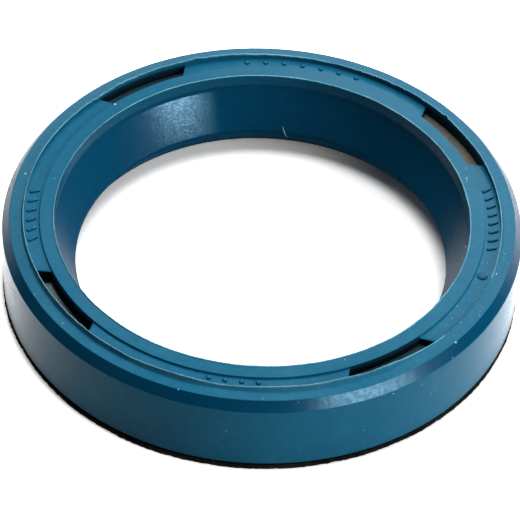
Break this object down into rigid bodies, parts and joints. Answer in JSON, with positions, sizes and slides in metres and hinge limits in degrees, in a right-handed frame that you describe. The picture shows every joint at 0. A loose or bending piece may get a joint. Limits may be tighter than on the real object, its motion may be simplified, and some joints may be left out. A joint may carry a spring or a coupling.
{
  "type": "radial shaft seal",
  "caption": "Rubber-covered radial shaft seal with a steel stiffening ring, a spring-loaded sealing lip and pocketed air-side face.",
  "frame": {"origin": "on the seal's axis, at the oil-side face it lies on", "axes": "+Z along the axis from the oil side to the air side, +Y away from the picture's viewer"},
  "size_m": [0.048, 0.048, 0.008],
  "materials": {
    "blue_rubber": "moulded, satin, lightly dusty",
    "sheet_steel": "plain pressed sheet with a rust tint",
    "spring_steel": "bright drawn wire"
  },
  "bodies": {
    "root": {"rubber_body": "blue_rubber", "steel_insert": "sheet_steel", "garter_spring": "spring_steel"}
  },
  "joints": []
}
